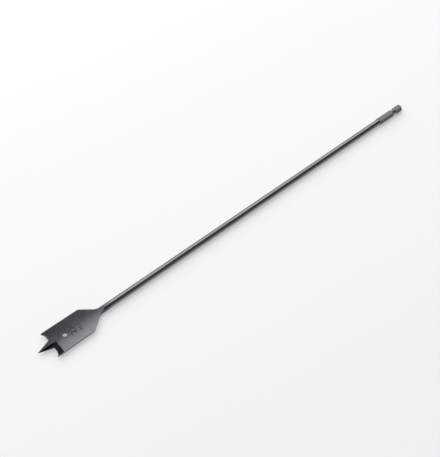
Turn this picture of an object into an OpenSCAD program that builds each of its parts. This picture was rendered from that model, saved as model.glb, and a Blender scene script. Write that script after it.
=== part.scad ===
// Spade drill bit, one forged and ground piece of steel.
// The bit lies along X with its tip at -X, its blade level and the lower hexagon flat on z = 0.

/* [Overall] */
// Length from the tip of the centre point to the end of the shank
total_l = 400; // [150:1:600]

/* [Blade] */
// Width of the blade across the wings, which is the size of the hole it bores
blade_w = 25; // [16:0.5:40]
// Thickness of the flat blade
blade_t = 2.6; // [2:0.1:4]
// Distance from the tip to the rear corners of the blade
blade_l = 46.9; // [36:0.1:70]
// Distance from the tip over which the sides stay parallel
land_l = 18; // [16:0.5:24]
// How much narrower each side is at the rear corner
back_taper = 0.4; // [0.1:0.05:1]
// Slope of the shoulders against the axis
shoulder_a = 37.5; // [25:0.5:60]
// Radius of the rounded rear corners
shoulder_r = 5; // [1:0.5:8]
// Radius where the shoulders run into the rod
neck_r = 8; // [3:0.5:15]
// Radius of the scoop by which the flat face runs out on the rod
forge_r = 40; // [15:1:80]
// Distance from the tip to the start of that scoop
forge_x = 53.5; // [44:0.5:75]

/* [Cutting end] */
// Distance from the tip to the front edge of the wings, at mid thickness
point_l = 13; // [9:0.05:16]
// Width of the centre point at its root, at mid thickness
point_w = 8.2; // [5:0.1:11]
// Thickness of the centre point at its tip
point_tip_t = 0.7; // [0.4:0.1:1.5]
// How far the spurs stand out in front of the wings
spur_l = 1.95; // [0.5:0.05:4]
// Width of a spur at its root
spur_w = 2.2; // [1:0.1:4]
// Radius of the inner corner between the centre point and a wing
point_root_r = 1.5; // [0.5:0.1:2.5]
// Radius by which the front edge of a wing runs up to its spur
spur_root_r = 5; // [1:0.5:6]
// Clearance angle of the ground edges
relief_a = 13; // [5:0.5:20]
// Direction of that clearance, from straight back towards the axis
relief_turn = 25; // [10:1:45]

/* [Hollow grinding] */
// Width of the hollow ground band behind each cutting edge
grind_w = 5; // [3:0.1:7]
// Depth of the band at the middle of its width, along a wing
grind_depth = 0.4; // [0.4:0.05:0.7]
// Depth of the band at the middle of its width, along the centre point
point_grind_depth = 0.3; // [0.15:0.05:0.35]
// How far the band is set forward over the cutting edge
grind_lead = 0.4; // [0.2:0.05:1]
// Distance of the band from the axis, along the centre point
grind_ridge = 0.7; // [0.3:0.05:1]

/* [Hole] */
// Diameter of the hole through the blade
hole_d = 4; // [2:0.1:6]
// Distance from the tip to the middle of the hole
hole_x = 26; // [20:0.5:34]

/* [Rod and shank] */
// Diameter of the round rod
rod_d = 6; // [5:0.1:6.3]
// Width of the hexagon shank across its flats
hex_af = 6.35; // [6.35:0.05:9]
// Length of the hexagon shank
hex_l = 28; // [22:0.5:60]
// Slope of the turned cone at the inner end of the hexagon
hex_cone_a = 30; // [15:1:60]
// Length of the chamfer at the end of the shank
end_chamfer_l = 1.2; // [0.5:0.1:2]
// Slope of that chamfer against the axis
end_chamfer_a = 40; // [20:1:60]
// Distance from the shank end to the middle of the ring groove
groove_x = 9.3; // [7:0.1:12]
// Diameter at the bottom of the ring groove
groove_d = 4.9; // [4:0.1:5.8]
// Radius of the round bottom of the ring groove
groove_r = 2.2; // [1:0.1:4]

/* [Hidden] */
$fn = 96;
over = 2;
neck_steps = 6;
root_steps = 6;
blade_r = blade_w / 2;
rod_r = rod_d / 2;
corner_r = blade_r - back_taper;
hex_corner_r = hex_af / 2 / cos(30);
hex_x = total_l - hex_l;
rod_end_x = hex_x + hex_l / 4;
steel = [0.45, 0.46, 0.48];

// Points of the turned outline as (radius, distance from the tip)
land_point = [blade_r, land_l];
corner_point = [corner_r, blade_l];
neck_point = [rod_r, blade_l + (corner_r - rod_r) / tan(shoulder_a)];

// Hollow grinding wheel radius from the width and depth of its band
wheel_r = (grind_w * grind_w / 4 + grind_depth * grind_depth) / (2 * grind_depth);
front_x = point_l - blade_t / 2 * tan(relief_a);
band_x = front_x - grind_lead + grind_w / 2;
band_y = -(grind_ridge + grind_w / 2);
point_taper_a = atan((blade_t - point_tip_t) / 2 / point_l);

function unit(v) = v / norm(v);

// The four points of the kite between a corner, its two tangent points and the middle of its rounding
function kite(corner, side_a, side_b, r) =
    let (
        a = unit(side_a - corner),
        b = unit(side_b - corner),
        half = acos(a * b) / 2,
        reach = r / tan(half)
    )
    [corner, corner + a * reach, corner + unit(a + b) * r / sin(half), corner + b * reach];

// Points on the round of radius r that is put in a corner
function arc(corner, side_a, side_b, r, steps) =
    let (
        points = kite(corner, side_a, side_b, r),
        middle = points[2],
        start = atan2(points[1].y - middle.y, points[1].x - middle.x),
        stop = atan2(points[3].y - middle.y, points[3].x - middle.x),
        turn = stop - start > 180 ? stop - start - 360 : stop - start < -180 ? stop - start + 360 : stop - start
    )
    [for (i = [0 : steps]) middle + r * [cos(start + turn * i / steps), sin(start + turn * i / steps)]];

// What lies between a corner and the round of radius r that is put in it
module corner_waste(corner, side_a, side_b, r) {
    points = kite(corner, side_a, side_b, r);
    difference() {
        polygon(points);
        translate(points[2]) circle(r = r);
    }
}

// Half outline of blade, shoulders and rod, turned about the axis
module turned_outline() {
    rod_end = [rod_r, rod_end_x];
    difference() {
        polygon([
            [0, -over],
            [blade_r, -over],
            land_point,
            corner_point,
            each arc(neck_point, corner_point, rod_end, neck_r, neck_steps),
            rod_end,
            [0, rod_end_x]
        ]);
        corner_waste(corner_point, land_point, neck_point, shoulder_r);
    }
}

// Lays a shape turned about Z along X
module along_x() {
    rotate([0, 90, 0]) children();
}

// Space over the upper face of blade and point, with the scoop up to the rod, seen from the side
module face_waste() {
    high = blade_r + over;
    slope = tan(point_taper_a);
    difference() {
        union() {
            polygon([
                [-2 * over, high],
                [-2 * over, point_tip_t / 2 - 2 * over * slope],
                [point_l, blade_t / 2],
                [forge_x, blade_t / 2],
                [forge_x, high]
            ]);
            translate([forge_x, blade_t / 2 + forge_r]) circle(r = forge_r);
        }
        translate([-total_l, high]) square([2 * total_l, 3 * forge_r]);
    }
}

// Cuts one face of the blade to its thickness
module face_cutter() {
    rotate([90, 0, 0])
        linear_extrude(height = 2 * (blade_r + over), center = true) face_waste();
}

// Outline in front of one wing and beside the centre point, with its two rounded corners
module front_outline() {
    point_slope = point_w / 2 / point_l;
    spur_slope = spur_l / spur_w;
    reach = 4 * over;
    point_front = [-reach, reach * point_slope];
    point_root = [point_l, -point_w / 2];
    spur_root = [point_l, -(blade_r - spur_w)];
    spur_end = [point_l - spur_l - over * spur_slope, -(blade_r + over)];
    polygon([
        point_front,
        each arc(point_root, point_front, spur_root, point_root_r, root_steps),
        each arc(spur_root, point_root, spur_end, spur_root_r, root_steps),
        spur_end,
        [-reach, -(blade_r + over)]
    ]);
}

// Takes that outline off, tilted for clearance
module front_cutter() {
    rotate([0, 0, relief_turn])
        rotate([0, -relief_a, 0])
            rotate([0, 0, -relief_turn])
                linear_extrude(height = 4 * blade_t, center = true) front_outline();
}

// L-shaped hollow that the grinding wheel leaves along one wing and its side of the point
module grind_cutter() {
    translate([band_x, band_y, blade_t / 2 + wheel_r]) {
        translate([0, grind_w / 2, -grind_depth])
            rotate([90, 0, 0]) cylinder(r = wheel_r, h = blade_r + over);
        translate([grind_w / 2 - wheel_r * sin(point_taper_a), 0, -point_grind_depth])
            rotate([0, -90 - point_taper_a, 0]) cylinder(r = wheel_r, h = point_l + 3 * over);
    }
}

// What is taken off for one wing and one face, the other is half a turn about the axis
module wing_cutters() {
    face_cutter();
    front_cutter();
    grind_cutter();
}

// Hexagon with turned ends
module shank() {
    turned_r = hex_corner_r + over;
    cone_l = (turned_r - rod_r) / tan(hex_cone_a);
    chamfer_r = hex_corner_r - end_chamfer_l * tan(end_chamfer_a);
    chamfer_l = (turned_r - chamfer_r) / tan(end_chamfer_a);
    along_x()
        intersection() {
            rotate([0, 0, 30])
                translate([0, 0, hex_x]) cylinder(r = hex_corner_r, h = hex_l, $fn = 6);
            translate([0, 0, hex_x])
                rotate_extrude()
                    polygon([
                        [0, 0],
                        [rod_r, 0],
                        [turned_r, cone_l],
                        [turned_r, hex_l - chamfer_l],
                        [chamfer_r, hex_l],
                        [0, hex_l]
                    ]);
        }
}

// Ring groove for a quick-change chuck
module ring_groove() {
    along_x()
        translate([0, 0, total_l - groove_x])
            rotate_extrude() translate([groove_d / 2 + groove_r, 0]) circle(r = groove_r);
}

module spade_bit() {
    color(steel)
        translate([-total_l / 2, 0, hex_af / 2])
            difference() {
                union() {
                    along_x() rotate_extrude() turned_outline();
                    shank();
                }
                for (turn = [0, 180]) rotate([turn, 0, 0]) wing_cutters();
                translate([hole_x, 0, 0]) cylinder(d = hole_d, h = 2 * blade_t, center = true);
                ring_groove();
            }
}

spade_bit();
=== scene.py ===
import math

import bpy
from mathutils import Matrix, Vector


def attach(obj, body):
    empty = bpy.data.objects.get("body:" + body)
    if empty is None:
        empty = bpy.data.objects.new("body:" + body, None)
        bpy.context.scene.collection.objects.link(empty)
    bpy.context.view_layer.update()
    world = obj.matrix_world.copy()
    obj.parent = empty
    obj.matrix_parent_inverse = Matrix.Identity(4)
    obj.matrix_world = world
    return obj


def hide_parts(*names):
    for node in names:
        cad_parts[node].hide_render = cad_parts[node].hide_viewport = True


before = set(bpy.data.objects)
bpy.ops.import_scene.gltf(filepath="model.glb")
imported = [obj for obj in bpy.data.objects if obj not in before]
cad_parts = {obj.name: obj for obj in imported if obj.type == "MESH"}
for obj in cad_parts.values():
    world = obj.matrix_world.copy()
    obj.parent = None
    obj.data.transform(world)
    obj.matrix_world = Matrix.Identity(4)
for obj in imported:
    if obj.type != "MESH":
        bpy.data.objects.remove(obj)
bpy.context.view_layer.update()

# Spade drill bit on a pale table, one forged piece of steel with the finishes of its making

# Real sizes of the bit in metres, as built in the solids
MM = 0.001
LENGTH = 400 * MM
BLADE_RADIUS = 12.5 * MM
BLADE_HALF = 1.3 * MM
BLADE_END = 46.9 * MM
LAND_END = 18 * MM
BACK_TAPER = 0.4 * MM
SHOULDER_SLOPE = math.radians(37.5)
SHOULDER_ROUND = 5 * MM
NECK_ROUND = 8 * MM
SCOOP_RADIUS = 40 * MM
SCOOP_START = 53.5 * MM
POINT_LENGTH = 13 * MM
POINT_ROOT_HALF = 4.1 * MM
POINT_TIP_HALF = 0.35 * MM
POINT_SLOPE = (BLADE_HALF - POINT_TIP_HALF) / POINT_LENGTH
SPUR_LENGTH = 1.95 * MM
SPUR_WIDTH = 2.2 * MM
POINT_ROOT_ROUND = 1.5 * MM
SPUR_ROOT_ROUND = 5 * MM
RELIEF = math.radians(13)
RELIEF_TURN = math.radians(25)
BAND_WIDTH = 5 * MM
BAND_DEPTH = 0.4 * MM
POINT_BAND_DEPTH = 0.3 * MM
BAND_LEAD = 0.4 * MM
BAND_RIDGE = 0.7 * MM
HOLE_RADIUS = 2 * MM
HOLE_PLACE = 26 * MM
ROD_RADIUS = 3 * MM
HEX_FLATS = 6.35 * MM
HEX_CORNER = HEX_FLATS / 2 / math.cos(math.radians(30))
HEX_LENGTH = 28 * MM
ROD_IN_HEX = HEX_LENGTH / 4
HEX_CONE = math.radians(30)
END_CHAMFER = 1.2 * MM
END_CHAMFER_SLOPE = math.radians(40)
GROOVE_PLACE = 9.3 * MM
GROOVE_RADIUS = 2.45 * MM
GROOVE_ROUND = 2.2 * MM
AXIS_HEIGHT = HEX_FLATS / 2
TIP = -LENGTH / 2

# Pressed numerals, with the least depth and the largest area of a face that counts as pressed
STAMP_DEPTH = 0.15 * MM
LETTER_GAP = 1.15
STAMP_MARGIN = 2 * MM
PRESSED_NEAR = 0.01 * MM
PRESSED_AREA = 20 * MM * MM

# Fineness of the rounds, with prime counts for turning and groove so that their edges miss each other's
TURN_STEPS = 97
GROOVE_STEPS = 101
GROOVE_ROUND_STEPS = 48
WHEEL_STEPS = 256
HOLE_STEPS = 64
SHOULDER_STEPS = 12
NECK_STEPS = 14
ROOT_STEPS = 10
SCOOP_STEPS = 40
SMOOTH_ANGLE = math.radians(12)

# How far tools reach past what they cut, how deep the shank starts in the rod, and what counts as one place
OVER = 2 * MM
HEX_INSIDE = 0.6 * MM
HAIR = 0.001 * MM


# Camera of the photograph, found from the bit's length, blade width and rod width in the picture
def place_camera():
    picture_width = 440
    focal_pixels = 1000
    film_width = 36
    nearest, farthest = 0.01, 60
    turn, rise = math.radians(-38.62), math.radians(58.22)
    distance = 859.6 * MM
    aim = Vector((-13.17 * MM, 0.89 * MM, AXIS_HEIGHT))
    back = Vector((math.sin(turn) * math.cos(rise), -math.cos(turn) * math.cos(rise), math.sin(rise)))
    bpy.ops.object.camera_add(location=aim + back * distance)
    camera = bpy.context.object
    camera.name = "photo_camera"
    camera.rotation_euler = (-back).to_track_quat("-Z", "Y").to_euler()
    camera.data.sensor_fit = "HORIZONTAL"
    camera.data.sensor_width = film_width
    camera.data.lens = film_width * focal_pixels / picture_width
    camera.data.clip_start = nearest
    camera.data.clip_end = farthest
    bpy.context.scene.camera = camera


# Small modelling steps that the pieces share
def deselect():
    if bpy.context.mode != "OBJECT":
        bpy.ops.object.mode_set(mode="OBJECT")
    bpy.ops.object.select_all(action="DESELECT")


def only(piece):
    deselect()
    piece.select_set(True)
    bpy.context.view_layer.objects.active = piece


def edit(piece):
    only(piece)
    bpy.ops.object.mode_set(mode="EDIT")
    bpy.ops.mesh.select_all(action="SELECT")


# Doubles merged and faces turned outwards
def close_up(piece):
    edit(piece)
    bpy.ops.mesh.remove_doubles(threshold=HAIR)
    bpy.ops.mesh.normals_make_consistent(inside=False)
    deselect()


# The primitive that was just added, left at the origin with its place in its mesh
def settled():
    bpy.ops.object.transform_apply()
    return bpy.context.object


# A line drawn from point to point, each vertex extruded from the last
def trace(name, points):
    deselect()
    bpy.ops.mesh.primitive_plane_add(size=MM, location=points[0])
    line = settled()
    line.name = name
    edit(line)
    bpy.ops.mesh.merge(type="CENTER")
    for here, there in zip(points, points[1:]):
        bpy.ops.mesh.extrude_vertices_move(TRANSFORM_OT_translate={"value": there - here})
    deselect()
    return line


def fill_and_pull(line, way):
    edit(line)
    bpy.ops.mesh.edge_face_add()
    bpy.ops.mesh.select_all(action="SELECT")
    bpy.ops.mesh.extrude_region_move(TRANSFORM_OT_translate={"value": way})
    close_up(line)
    return line


# A half outline of (distance from the tip, radius) spun about the axis of the bit
def turned(name, profile):
    line = trace(name, [Vector((TIP + along, 0, AXIS_HEIGHT + radius)) for along, radius in profile])
    edit(line)
    bpy.ops.mesh.spin(steps=TURN_STEPS, angle=math.tau, center=(0, 0, AXIS_HEIGHT), axis=(1, 0, 0))
    close_up(line)
    return line


# Without a window the rotate operator turns the other way, so the angle goes in with its sign changed
def turn_mesh(piece, angle, axis):
    edit(piece)
    bpy.ops.transform.rotate(value=-angle, orient_axis=axis, center_override=(TIP, 0, AXIS_HEIGHT))
    deselect()


def half_turned_copy(piece):
    only(piece)
    bpy.ops.object.duplicate()
    other = bpy.context.object
    turn_mesh(other, math.pi, "X")
    return other


def combine(piece, tool, how, overlaps=False):
    only(piece)
    step = piece.modifiers.new(how.lower(), "BOOLEAN")
    step.operation = how
    step.solver = "EXACT"
    step.use_self = overlaps
    step.object = tool
    bpy.ops.object.modifier_apply(modifier=step.name)
    bpy.data.objects.remove(tool, do_unlink=True)


# Points on the round that is put in the corner between two sides
def corner_arc(corner, side_a, side_b, radius, steps):
    a, b = (side_a - corner).normalized(), (side_b - corner).normalized()
    half = a.angle(b) / 2
    middle = corner + (a + b).normalized() * radius / math.sin(half)
    first = corner + a * radius / math.tan(half) - middle
    last = corner + b * radius / math.tan(half) - middle
    sweep = first.angle_signed(last)
    return [middle + Matrix.Rotation(-sweep * i / steps, 2) @ first for i in range(steps + 1)]


# Blade, shoulders, neck and rod as one turned blank, whose rod ends inside the hexagon
def turned_blank():
    corner = Vector((BLADE_END, BLADE_RADIUS - BACK_TAPER))
    neck = Vector((BLADE_END + (corner.y - ROD_RADIUS) / math.tan(SHOULDER_SLOPE), ROD_RADIUS))
    land = Vector((LAND_END, BLADE_RADIUS))
    rod_end = Vector((LENGTH - HEX_LENGTH + ROD_IN_HEX, ROD_RADIUS))
    profile = [Vector((-OVER, 0)), Vector((-OVER, BLADE_RADIUS)), land]
    profile += corner_arc(corner, land, neck, SHOULDER_ROUND, SHOULDER_STEPS)
    profile += corner_arc(neck, corner, rod_end, NECK_ROUND, NECK_STEPS)
    profile += [rod_end, Vector((rod_end.x, 0))]
    return turned("spade_bit_finished", profile)


# What is forged away over one face of the blade, with the scoop up to the rod
def forged_away():
    top = BLADE_RADIUS + OVER
    front = -2 * OVER
    reach = math.acos((SCOOP_RADIUS + BLADE_HALF - top) / SCOOP_RADIUS)
    side = [(front, top), (front, POINT_TIP_HALF + front * POINT_SLOPE), (POINT_LENGTH, BLADE_HALF)]
    for i in range(SCOOP_STEPS + 1):
        turn = reach * i / SCOOP_STEPS
        lift = SCOOP_RADIUS * (1 - math.cos(turn))
        side.append((SCOOP_START + SCOOP_RADIUS * math.sin(turn), BLADE_HALF + lift))
    line = trace("forged_away", [Vector((TIP + x, -top, AXIS_HEIGHT + z)) for x, z in side])
    return fill_and_pull(line, Vector((0, 2 * top, 0)))


# What is ground away in front of one wing and beside the point, tilted for clearance
def ground_front():
    reach = 4 * OVER
    wide = BLADE_RADIUS + OVER
    high = 4 * BLADE_HALF
    front = Vector((-reach, reach * POINT_ROOT_HALF / POINT_LENGTH))
    point_root = Vector((POINT_LENGTH, -POINT_ROOT_HALF))
    spur_root = Vector((POINT_LENGTH, -(BLADE_RADIUS - SPUR_WIDTH)))
    spur_end = Vector((POINT_LENGTH - SPUR_LENGTH - OVER * SPUR_LENGTH / SPUR_WIDTH, -wide))
    points = [front]
    points += corner_arc(point_root, front, spur_root, POINT_ROOT_ROUND, ROOT_STEPS)
    points += corner_arc(spur_root, point_root, spur_end, SPUR_ROOT_ROUND, ROOT_STEPS)
    points += [spur_end, Vector((-reach, -wide))]
    line = trace("ground_front", [Vector((TIP + p.x, p.y, AXIS_HEIGHT - high)) for p in points])
    tool = fill_and_pull(line, Vector((0, 0, 2 * high)))
    turn_mesh(tool, -RELIEF_TURN, "Z")
    turn_mesh(tool, -RELIEF, "Y")
    turn_mesh(tool, RELIEF_TURN, "Z")
    return tool


# Grinding wheel run along one wing and along its side of the point
def grinding_wheels():
    wheel = (BAND_WIDTH ** 2 / 4 + BAND_DEPTH ** 2) / (2 * BAND_DEPTH)
    band_start = POINT_LENGTH - BLADE_HALF * math.tan(RELIEF) - BAND_LEAD
    level = AXIS_HEIGHT + BLADE_HALF + wheel
    taper = math.atan(POINT_SLOPE)
    along_wing = Vector((TIP + band_start + BAND_WIDTH / 2, -BAND_RIDGE, level - BAND_DEPTH))
    along_point = Vector((
        TIP + band_start + BAND_WIDTH - wheel * math.sin(taper),
        -BAND_RIDGE - BAND_WIDTH / 2,
        level - POINT_BAND_DEPTH,
    ))
    runs = (
        (along_wing, Vector((0, -1, 0))),
        (along_point, Vector((-math.cos(taper), 0, -math.sin(taper)))),
    )
    run = BLADE_RADIUS + POINT_LENGTH
    wheels = []
    for start, way in runs:
        deselect()
        bpy.ops.mesh.primitive_cylinder_add(
            vertices=WHEEL_STEPS,
            radius=wheel,
            depth=run,
            location=start + way * run / 2,
            rotation=way.to_track_quat("Z", "Y").to_euler(),
        )
        wheels.append(settled())
    return wheels


def drilled_hole():
    deselect()
    bpy.ops.mesh.primitive_cylinder_add(
        vertices=HOLE_STEPS,
        radius=HOLE_RADIUS,
        depth=8 * BLADE_HALF,
        location=(TIP + HOLE_PLACE, 0, AXIS_HEIGHT),
    )
    return settled()


# Hexagon with turned ends, whose cone starts inside the rod
def hexagon_shank():
    start = LENGTH - HEX_LENGTH - HEX_INSIDE
    deselect()
    bpy.ops.mesh.primitive_cylinder_add(
        vertices=6,
        radius=HEX_CORNER,
        depth=HEX_LENGTH + 2 * OVER,
        location=(TIP + LENGTH - HEX_LENGTH / 2, 0, AXIS_HEIGHT),
        rotation=(0, math.pi / 2, 0),
    )
    shank = settled()
    wide = HEX_CORNER + OVER
    chamfer = HEX_CORNER - END_CHAMFER * math.tan(END_CHAMFER_SLOPE)
    cone_start = ROD_RADIUS - HEX_INSIDE * math.tan(HEX_CONE)
    profile = [
        (start, 0),
        (start, cone_start),
        (start + (wide - cone_start) / math.tan(HEX_CONE), wide),
        (LENGTH - (wide - chamfer) / math.tan(END_CHAMFER_SLOPE), wide),
        (LENGTH, chamfer),
        (LENGTH, 0),
    ]
    combine(shank, turned("shank_turning", profile), "INTERSECT")
    return shank


def chuck_groove():
    deselect()
    bpy.ops.mesh.primitive_torus_add(
        major_segments=GROOVE_STEPS,
        minor_segments=GROOVE_ROUND_STEPS,
        major_radius=GROOVE_RADIUS + GROOVE_ROUND,
        minor_radius=GROOVE_ROUND,
        location=(TIP + LENGTH - GROOVE_PLACE, 0, AXIS_HEIGHT),
        rotation=(0, math.pi / 2, 0),
    )
    return settled()


def make_bit():
    bit = turned_blank()
    for tool in [forged_away(), ground_front()] + grinding_wheels():
        other = half_turned_copy(tool)
        combine(bit, tool, "DIFFERENCE")
        combine(bit, other, "DIFFERENCE")
    combine(bit, drilled_hole(), "DIFFERENCE")
    combine(bit, hexagon_shank(), "UNION")
    combine(bit, chuck_groove(), "DIFFERENCE")
    return bit


# Plain words to be pressed into the upper face, upright when the tip points up
def stamp_tool(words, height, stretch, bold, along, across):
    deselect()
    bpy.ops.object.text_add()
    text = bpy.context.object
    text.data.body = words
    text.data.size = height
    text.data.align_x = "CENTER"
    text.data.align_y = "CENTER"
    text.data.extrude = STAMP_DEPTH
    text.data.offset = bold
    text.data.space_character = LETTER_GAP
    bpy.ops.object.convert(target="MESH")
    tool = bpy.context.object
    edit(tool)
    bpy.ops.transform.resize(value=(stretch, 1, 1), center_override=(0, 0, 0))
    bpy.ops.transform.rotate(value=-math.pi / 2, orient_axis="Z", center_override=(0, 0, 0))
    bpy.ops.transform.translate(value=(TIP + along, across, AXIS_HEIGHT + BLADE_HALF))
    close_up(tool)
    return tool


# Colours are written as on a screen and turned to linear light
def colour(code):
    parts = [int(code[i:i + 2], 16) / 255 for i in (1, 3, 5)]
    return tuple(c / 12.92 if c <= 0.04045 else ((c + 0.055) / 1.055) ** 2.4 for c in parts) + (1,)


# Small steps that the materials share
def new_material(name):
    material = bpy.data.materials.new(name)
    material.use_nodes = True
    material.node_tree.nodes.clear()
    return material, material.node_tree


def add(tree, kind, settings, inputs):
    node = tree.nodes.new(kind)
    for name, value in settings.items():
        setattr(node, name, value)
    for name, value in inputs.items():
        if isinstance(value, bpy.types.NodeSocket):
            tree.links.new(value, node.inputs[name])
        else:
            node.inputs[name].default_value = value
    return node


def object_place(tree):
    return add(tree, "ShaderNodeTexCoord", {}, {}).outputs["Object"]


def noise(tree, place, size, detail):
    inputs = {"Vector": place, "Scale": 1 / size, "Detail": detail}
    return add(tree, "ShaderNodeTexNoise", {}, inputs).outputs[0]


def streaks(tree, place, sizes, detail):
    inputs = {"Vector": place, "Scale": [1 / size for size in sizes]}
    stretched = add(tree, "ShaderNodeMapping", {}, inputs).outputs[0]
    return noise(tree, stretched, 1, detail)


def spread(tree, value, low, high):
    inputs = {"Value": value, "To Min": low, "To Max": high}
    return add(tree, "ShaderNodeMapRange", {}, inputs).outputs[0]


def calculate(tree, operation, *values):
    return add(tree, "ShaderNodeMath", {"operation": operation}, dict(enumerate(values))).outputs[0]


def mix_colours(tree, share, one, other):
    inputs = {"Factor": share, "A": one, "B": other}
    return add(tree, "ShaderNodeMix", {"data_type": "RGBA"}, inputs).outputs["Result"]


def ramp(tree, value, stops):
    node = add(tree, "ShaderNodeValToRGB", {}, {"Fac": value})
    while len(node.color_ramp.elements) < len(stops):
        node.color_ramp.elements.new(1)
    for element, (position, code) in zip(node.color_ramp.elements, stops):
        element.position = position
        element.color = colour(code)
    return node.outputs[0]


# How close a place lies to a sharp edge, from 0 on the open face to 1 on the edge; the lighter edge colour
# it brings in is partly rubbed wear and partly a painted highlight
def edge_wear_and_painted_highlight(tree, reach):
    rounded = add(tree, "ShaderNodeBevel", {"samples": 6}, {"Radius": reach})
    flat = add(tree, "ShaderNodeNewGeometry", {}, {})
    same = add(tree, "ShaderNodeVectorMath", {"operation": "DOT_PRODUCT"}, {
        0: rounded.outputs[0],
        1: flat.outputs["Normal"],
    })
    return add(tree, "ShaderNodeMapRange", {}, {
        "Value": same.outputs["Value"],
        "From Min": 0.98,
        "From Max": 0.8,
    }).outputs[0]


def bump(tree, height, strength, depth):
    inputs = {"Height": height, "Strength": strength, "Distance": depth}
    return add(tree, "ShaderNodeBump", {}, inputs).outputs[0]


def finish_metal(tree, inputs):
    shader = add(tree, "ShaderNodeBsdfPrincipled", {}, {"Metallic": 1.0} | inputs)
    add(tree, "ShaderNodeOutputMaterial", {}, {"Surface": shader.outputs[0]})


# Forged, hardened and blasted tool steel: a satin grey film of scale in soft clouds, with painted shade
# darker towards one side and the tip, its edges lighter as rubbed wear and painted highlight
def blasted_blade_steel():
    material, tree = new_material("blasted_blade_steel")
    place = object_place(tree)
    # Painted shade and highlight: the grey runs darker along one side and towards the tip and lighter
    # towards the other side, a painted reflection gradient over the flat face
    split = add(tree, "ShaderNodeSeparateXYZ", {}, {"Vector": place})
    along = add(tree, "ShaderNodeMapRange", {}, {
        "Value": split.outputs["X"],
        "From Min": TIP + 10 * MM,
        "From Max": TIP + 55 * MM,
        "To Max": 0.16,
    })
    across = add(tree, "ShaderNodeMapRange", {"interpolation_type": "SMOOTHSTEP"}, {
        "Value": split.outputs["Y"],
        "From Min": 9 * MM,
        "From Max": -14 * MM,
        "To Max": 0.7,
    })
    clouds = noise(tree, place, 6 * MM, 3)
    # Both painted shade gradients together, with random clouds of scale laid over them
    painted_shade_and_clouds = calculate(tree, "ADD", along.outputs[0], across.outputs[0])
    painted_shade_and_clouds = calculate(tree, "MULTIPLY_ADD", clouds, 0.24, painted_shade_and_clouds)
    surface_tone = ramp(tree, painted_shade_and_clouds, ((0.08, "#302F35"), (0.4, "#48474D"), (1.0, "#878589")))
    # The blasted grain of about 0.1 mm is too fine to show, so it is drawn at 0.7 mm
    grain = noise(tree, place, 0.7 * MM, 4)
    finish_metal(tree, {
        "Base Color": mix_colours(tree, edge_wear_and_painted_highlight(tree, 0.3 * MM), surface_tone, colour("#9A9A9C")),
        "Roughness": spread(tree, grain, 0.32, 0.46),
        "Normal": bump(tree, grain, 0.25, 0.03 * MM),
    })
    return material


# Hollow ground steel at the cutting edges: smooth, its near-black colour a painted dark reflection, its
# edges lighter as rubbed wear and painted highlight
def hollow_ground_steel():
    material, tree = new_material("hollow_ground_steel")
    # The wheel marks of about 0.05 mm along the wing are too fine to show, so they are drawn 0.4 mm apart
    lines = streaks(tree, object_place(tree), (0.4 * MM, 6 * MM, 0.4 * MM), 3)
    # Painted reflection: the near-black grey stands in for the dark surroundings that the smooth band
    # reflects
    surface_tone = ramp(tree, lines, ((0.3, "#121215"), (0.75, "#212125")))
    finish_metal(tree, {
        "Base Color": mix_colours(tree, edge_wear_and_painted_highlight(tree, 0.2 * MM), surface_tone, colour("#55555A")),
        "Roughness": 0.26,
        "Normal": bump(tree, lines, 0.2, 0.01 * MM),
    })
    return material


# Bright drawn steel of the rod: smooth and reflecting, with faint draw lines along its length
def drawn_rod_steel():
    material, tree = new_material("drawn_rod_steel")
    place = object_place(tree)
    # The draw lines of about 0.1 mm are too fine to show, so they are drawn 0.5 mm apart
    lines = streaks(tree, place, (25 * MM, 0.5 * MM, 0.5 * MM), 3)
    bright = ramp(tree, lines, ((0.3, "#78797C"), (0.75, "#959698")))
    # A duller film of forging scale fades out in clouds behind the neck
    split = add(tree, "ShaderNodeSeparateXYZ", {}, {"Vector": place})
    clouds = noise(tree, place, 4 * MM, 3)
    scale = add(tree, "ShaderNodeMapRange", {"interpolation_type": "SMOOTHSTEP"}, {
        "Value": calculate(tree, "MULTIPLY_ADD", clouds, 6 * MM, split.outputs["X"]),
        "From Min": TIP + 78 * MM,
        "From Max": TIP + 64 * MM,
    }).outputs[0]
    gloss = spread(tree, lines, 0.16, 0.26)
    finish_metal(tree, {
        "Base Color": mix_colours(tree, scale, bright, colour("#5A595E")),
        "Roughness": calculate(tree, "MULTIPLY_ADD", scale, 0.14, gloss),
        "Normal": bump(tree, lines, 0.15, 0.01 * MM),
    })
    return material


# Rolled hexagon of the shank, as heat treated: duller and darker than the rod, mottled, with edges lighter
# as rubbed wear and painted highlight
def rolled_shank_steel():
    material, tree = new_material("rolled_shank_steel")
    place = object_place(tree)
    # The rolling marks of about 0.1 mm are too fine to show, so they are drawn 0.3 mm apart
    lines = streaks(tree, place, (5 * MM, 0.3 * MM, 0.3 * MM), 4)
    clouds = noise(tree, place, 2.5 * MM, 5)
    mottle = add(tree, "ShaderNodeMix", {}, {"Factor": 0.6, "A": clouds, "B": lines}).outputs[0]
    surface_tone = ramp(tree, mottle, ((0.3, "#5F5F62"), (0.7, "#79797B")))
    finish_metal(tree, {
        "Base Color": mix_colours(tree, edge_wear_and_painted_highlight(tree, 0.2 * MM), surface_tone, colour("#9A9A9C")),
        "Roughness": spread(tree, mottle, 0.24, 0.4),
        "Normal": bump(tree, lines, 0.2, 0.01 * MM),
    })
    return material


# Dark oxide left in the pressed numerals: dull, nearly black and specked, only partly metal
def stamp_oxide():
    material, tree = new_material("stamp_oxide")
    # The specks of about 0.1 mm are too fine to show, so they are drawn at 0.6 mm
    specks = noise(tree, object_place(tree), 0.6 * MM, 2)
    oxide = ramp(tree, specks, ((0.0, "#17171A"), (1.0, "#2E2E31")))
    finish_metal(tree, {"Base Color": oxide, "Metallic": 0.4, "Roughness": 0.6})
    return material


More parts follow.
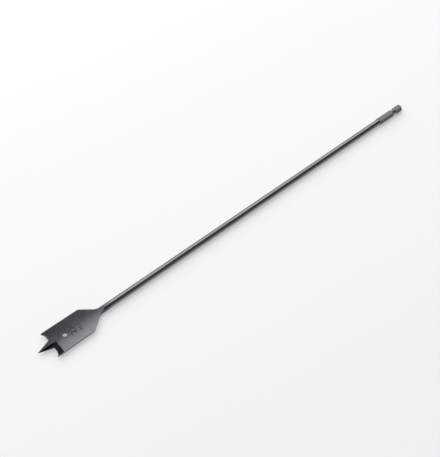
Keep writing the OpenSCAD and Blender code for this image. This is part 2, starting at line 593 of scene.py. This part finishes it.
# The order of the finishes on the bit
BLADE, GROUND, ROD, SHANK, STAMP = range(5)
FINISHES = (blasted_blade_steel, hollow_ground_steel, drawn_rod_steel, rolled_shank_steel, stamp_oxide)

# How far the middle of a face may lie from its surface, and which slopes run lengthwise or face up or down
ROD_NEAR = 0.06 * MM
SIDE_NEAR = 0.02 * MM
GROOVE_NEAR = 0.01 * MM
GROUND_NEAR = 0.004 * MM
LENGTHWISE = 0.02
FACE_ON = 0.8


# Which finish a face carries, read from its place on the bit
def finish_of(face):
    x, y, z = face.center - Vector((TIP, 0, AXIS_HEIGHT))
    radius = math.hypot(y, z)
    if x > SCOOP_START and abs(radius - ROD_RADIUS) < ROD_NEAR and abs(face.normal.x) < LENGTHWISE:
        return ROD
    if x > LENGTH - HEX_LENGTH:
        at_groove = abs(x - LENGTH + GROOVE_PLACE) < GROOVE_ROUND
        return ROD if at_groove and radius < HEX_FLATS / 2 - GROOVE_NEAR else SHANK
    if x > LENGTH / 2:
        return ROD
    if x > POINT_LENGTH + BAND_WIDTH:
        return BLADE
    lead = z if y < 0 else -z
    full = min(BLADE_HALF, POINT_TIP_HALF + x * POINT_SLOPE)
    if abs(face.normal.z) > FACE_ON:
        return GROUND if lead > 0 and full - lead > GROUND_NEAR else BLADE
    return BLADE if radius > BLADE_RADIUS - SIDE_NEAR else GROUND


def paint(bit):
    for make in FINISHES:
        bit.data.materials.append(make())
    for face in bit.data.polygons:
        face.material_index = finish_of(face)


# Words are pressed in after the painting, and what lies below the face there is oxide
def stamp(bit, words, height, stretch, bold, along, across):
    tool = stamp_tool(words, height, stretch, bold, along, across)
    combine(bit, tool, "DIFFERENCE", overlaps=True)
    surface = AXIS_HEIGHT + BLADE_HALF - PRESSED_NEAR
    widest = BLADE_RADIUS - STAMP_MARGIN
    for face in bit.data.polygons:
        near = abs(face.center.x - TIP - along) < height and abs(face.center.y) < widest
        if near and AXIS_HEIGHT < face.center.z < surface and face.area < PRESSED_AREA:
            face.material_index = STAMP


# Pale table that shows white and keeps the shadow of the bit
def make_table():
    table_side = 40
    white_lift = 0.42
    deselect()
    bpy.ops.mesh.primitive_plane_add(size=table_side)
    table = bpy.context.object
    table.name = "pale_table"
    material, tree = new_material("pale_laminate")
    path = add(tree, "ShaderNodeLightPath", {}, {}).outputs
    seen = calculate(tree, "MAXIMUM", path["Is Camera Ray"], path["Is Glossy Ray"])
    seen = calculate(tree, "MAXIMUM", seen, path["Is Transmission Ray"])
    glow = calculate(tree, "MULTIPLY", seen, white_lift)
    plain = add(tree, "ShaderNodeBsdfDiffuse", {}, {"Color": colour("#E6E6E6")})
    light = add(tree, "ShaderNodeEmission", {}, {"Color": colour("#FFFFFF"), "Strength": glow})
    both = add(tree, "ShaderNodeAddShader", {}, {0: plain.outputs[0], 1: light.outputs[0]})
    add(tree, "ShaderNodeOutputMaterial", {}, {"Surface": both.outputs[0]})
    table.data.materials.append(material)


# One large soft box behind the bit, over a dim room
def make_light():
    place, aim = Vector((0.35, 1.1, 1.35)), Vector((0.35, 0, 0))
    wide, high, glow = 3.6, 2.2, 1.5
    room_glow = 0.15
    bpy.ops.object.light_add(type="AREA", location=place)
    box = bpy.context.object
    box.name = "soft_box"
    box.data.shape = "RECTANGLE"
    box.data.size = wide
    box.data.size_y = high
    box.data.energy = glow * math.pi * wide * high
    box.rotation_euler = (aim - place).to_track_quat("-Z", "Y").to_euler()
    room = bpy.data.worlds.new("room")
    bpy.context.scene.world = room
    room.use_nodes = True
    back = room.node_tree.nodes["Background"]
    back.inputs["Color"].default_value = colour("#FFFFFF")
    back.inputs["Strength"].default_value = room_glow


place_camera()
bit = make_bit()
paint(bit)
stamp(bit, "25", height=7.2 * MM, stretch=1.1, bold=0.12 * MM, along=33 * MM, across=-0.7 * MM)
stamp(bit, "mm", height=6.2 * MM, stretch=1.05, bold=0.05 * MM, along=39.4 * MM, across=-0.3 * MM)
close_up(bit)
only(bit)
bpy.ops.object.shade_smooth_by_angle(angle=SMOOTH_ANGLE)
make_table()
make_light()
bpy.context.scene.view_settings.view_transform = "Standard"

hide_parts("spade_bit")
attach(bit, "root")
